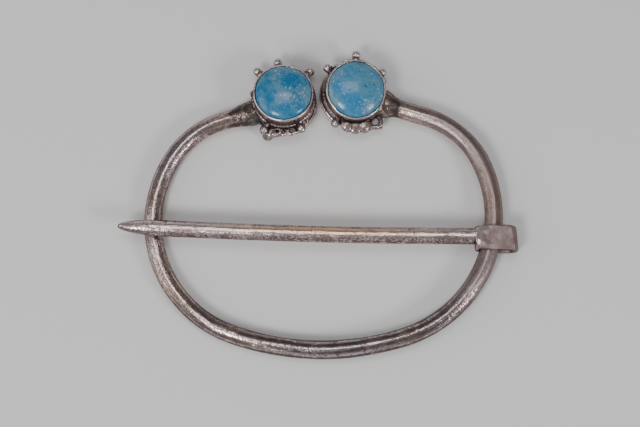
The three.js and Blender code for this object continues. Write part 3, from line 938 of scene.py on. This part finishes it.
flat = np.array([0.0, 0.0, 1.0])
shank_distance = tip_distance - point_length
point_stations = tip_distance - point_length * np.linspace(0, 1, 46)[:-1] ** 1.7
shank_count = math.ceil((shank_distance - neck_distance) / pin_step)
shank_stations = np.linspace(shank_distance, neck_distance, shank_count)
for distance in [*point_stations, *shank_stations]:
    share = (distance - curl_reach) / (tip_distance - curl_reach)
    to_tip = (tip_distance - distance) / point_length
    size = max(min(to_tip, 1) ** point_fullness, 2 * point_radius / shank_width)
    height = band_height + slope * (distance - curl_reach)
    centre = [-distance, -shank_bow * math.sin(math.pi * share), height]
    add_ring(centre, flat, section(shank_width / 2 * size, shank_thickness / 2 * size, 2), -distance)
neck_end = pin_rings[-1].mean(axis=0)
fold_start = fold_reach - band_height - band_thickness / 2
for x in np.linspace(-neck_distance, fold_start, 60)[1:]:
    past = x + neck_distance
    melted_away = smooth_share(past / melt_length)
    round_section = section(1, shank_thickness / 2, 2)
    flat_section = section(1, band_thickness / 2, band_fullness)
    ring_section = round_section + (flat_section - round_section) * melted_away
    front_spread = smooth_share(past / near_spread)
    back_spread = 0.35 * front_spread + 0.65 * smooth_share(past / far_spread)
    spread = np.where(ring_section[:, 0] > 0, back_spread, front_spread)
    ring_section[:, 0] *= shank_width / 2 + (band_width - shank_width) / 2 * spread
    share = (x + neck_distance) / (fold_start + neck_distance)
    centre = [x, neck_end[1] * (1 - share) - band_shift * share, band_height]
    add_ring(centre, flat, ring_section, x)

# Two bends carry the band on: down round the outside of the rod, and up again on its inner side
band_section = section(band_width / 2, band_thickness / 2, band_fullness)
outer_radius = band_height + band_thickness / 2
outer_bend = (fold_reach - outer_radius, 0, math.pi)
inner_bend = (outer_radius - curl_reach, math.pi, curl_sweep)
way = fold_start
for start_x, first, sweep in (outer_bend, inner_bend):
    if first:
        way += abs(fold_reach - outer_radius - start_x)
    for share in np.linspace(0, 1, 44)[(0 if first else 1):]:
        turn = first + sweep * share
        away = np.array([math.sin(turn), 0, math.cos(turn)])
        roundness = abs(away[0]) ** fold_fullness + abs(away[2]) ** fold_fullness
        squarer = 1 if first else roundness ** (-1 / fold_fullness)
        centre = np.array([start_x, -band_shift, 0]) + away * band_height * squarer
        add_ring(centre, away, band_section, way + sweep * share * band_height)
    way += sweep * band_height
pin_grid = np.array(pin_rings)
straight_pin = np.array(pin_straight).reshape(-1, 3)
pin_points, pin_faces = skin(pin_grid)
beyond = np.maximum(pin_points[:, 0], 0)
pin_points[:, 0] -= (pin_points[:, 1] + band_shift) * math.tan(fold_skew) * beyond / fold_reach

# Hammering has left the shank slightly uneven. The band rolls down a little towards the hoop's foot.
# It has a leaf-shaped hollow running down from its neck, a small oval dimple in that, and a shallow
# dish where it starts to fold, each given by its place, turn, size and depth.
hollows = [
    ((-0.45, -0.35), -17, (2.2, 0.8), 0.13),
    ((-0.15, -0.8), -10, (0.55, 0.36), 0.07),
    ((2.5, -0.2), 80, (1.5, 0.75), 0.1),
]
ring_middles = np.repeat(pin_grid.mean(axis=1), pin_sides, axis=0)
pin_out = pin_points - ring_middles
pin_out /= np.linalg.norm(pin_out, axis=1)[:, None]
beaten = smooth_share((straight_pin[:, 0] - beaten_from) / beaten_length)
uneven = 0.028 * ripple(straight_pin, 3.0, 8) + 0.014 * ripple(straight_pin, 1.0, 9)
uneven += hammer_depth * beaten * ripple(straight_pin, hammer_size, 15)
off_tip = smooth_share((tip_distance + straight_pin[:, 0]) / 2)
pin_points = pin_points + pin_out * (uneven * off_tip)[:, None]
on_top = pin_points[:, 2] > band_height
across_band = np.clip(pin_points[:, 1], -band_flat_reach, band_flat_reach)
pin_points[:, 2] += band_roll * beaten * on_top * across_band
for place, turned_by, size, depth in hollows:
    turn = math.radians(turned_by)
    turned_back = [[math.cos(turn), -math.sin(turn)], [math.sin(turn), math.cos(turn)]]
    away = (pin_points[:, :2] - place) @ np.array(turned_back)
    pin_points[:, 2] -= depth * np.exp(-((away / size) ** 2).sum(axis=1) ** 1.6) * on_top
pin_turn = np.array(Matrix.Rotation(math.atan2(*(loop_place - crossing)[::-1]), 3, "Z"))
pin_points = from_hoop(pin_points @ pin_turn.T + [*loop_place, 0])
# Its warm colour tints the painted highlight band on the shank
pin_silver = silver(
    "pin silver",
    cool=(0.84, 0.72, 0.7),
    warm=(1.0, 0.66, 0.45),
    tarnish=(0.24, 0.17, 0.16),
    grime=(0.05, 0.04, 0.036),
    patch_scale=300.0,
    roughness=0.18,
    lined=True,
)
pin = piece("swinging_pin", pin_points, pin_faces, pin_silver)

# The pin has no solder on it. Its head has an even dull film with a faint grey-green cast.
keep_value(pin.data, "straight", straight_pin * mm)
keep_value(pin.data, "solder", np.zeros(len(pin_points)))
keep_value(pin.data, "satin", beaten * (1.7 + 0.6 * ripple(straight_pin, 1.3, 16)))
keep_value(pin.data, "green", 0.12 * beaten)

# A painted warm highlight band runs along the shank's back where it faces the top softbox, strongest at its
# middle, over a faint random warm tone
mid_shank = np.exp(-(((straight_pin[:, 0] + 0.45 * tip_distance) / (0.27 * tip_distance)) ** 2))
faces_back = mesh_normals(pin.data)[:, 1]
highlight_band = smooth_share((faces_back + 0.28) / 0.3) * smooth_share((0.9 - faces_back) / 0.4)
pin_tone_and_highlight = mid_shank * highlight_band + 0.25 * ripple(straight_pin, 7, 14) + 0.1 * beaten
keep_value(pin.data, "warmth", np.clip(pin_tone_and_highlight, 0, 1))
# Clean metal along the band paints the highlight, extra tarnish on the lower half is painted shade, and the
# beaten head is kept cleaner
pin_wear_and_shading = (0.5 + 0.5 * mid_shank) * highlight_band - 0.3 * (1 - highlight_band) * (1 - beaten) + 0.5 * beaten
keep_hollows(pin.data, 16, 0.12, pin_wear_and_shading)
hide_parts("pin")
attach(pin, "pin")

# The brooch lies on a plain pale table, under six softboxes and a dim grey room
table_reach = 1.2
table = bpy.data.meshes.new("table")
table_corners = [(x * table_reach, y * table_reach, 0) for x, y in ((-1, -1), (1, -1), (1, 1), (-1, 1))]
table.from_pydata(table_corners, [], [(0, 1, 2, 3)])
table_paint = bpy.data.materials.new("pale table")
table_paint.use_nodes = True
table_shader = table_paint.node_tree.nodes["Principled BSDF"]
table_shader.inputs["Base Color"].default_value = (0.8, 0.79, 0.78, 1)
table_shader.inputs["Roughness"].default_value = 0.9
table.materials.append(table_paint)
floor = bpy.data.objects.new("table", table)
bpy.context.scene.collection.objects.link(floor)


def softbox(side, azimuth, from_vertical, distance, size, power):
    """A lamp that faces the brooch, placed by its angle from +X and by its lean from straight up."""
    name = side + " softbox"
    lamp_data = bpy.data.lights.new(name, "AREA")
    lamp_data.shape = "RECTANGLE"
    lamp_data.size, lamp_data.size_y = size
    lamp_data.energy = power
    lamp = bpy.data.objects.new(name, lamp_data)
    angle, lean = math.radians(azimuth), math.radians(from_vertical)
    way = Vector((math.cos(angle) * math.sin(lean), math.sin(angle) * math.sin(lean), math.cos(lean)))
    lamp.location = way * distance
    lamp.rotation_euler = (-way).to_track_quat("-Z", "Y").to_euler()
    bpy.context.scene.collection.objects.link(lamp)


softbox("top", azimuth=95, from_vertical=11, distance=0.7, size=(0.42, 0.26), power=0.95)
softbox("left", azimuth=231, from_vertical=36, distance=0.6, size=(0.16, 0.16), power=1.4)
softbox("right", azimuth=-33, from_vertical=54, distance=0.6, size=(0.14, 0.14), power=1.0)
softbox("front", azimuth=-90, from_vertical=66, distance=0.7, size=(0.4, 0.4), power=0.25)
softbox("back", azimuth=100, from_vertical=74, distance=0.7, size=(0.4, 0.4), power=0.2)
softbox("side", azimuth=185, from_vertical=56, distance=0.7, size=(0.4, 0.4), power=0.8)
world = bpy.data.worlds.new("room")
world.use_nodes = True
room_light = world.node_tree.nodes["Background"]
room_light.inputs["Color"].default_value = (0.2, 0.2, 0.21, 1)
room_light.inputs["Strength"].default_value = 1.0
bpy.context.scene.world = world
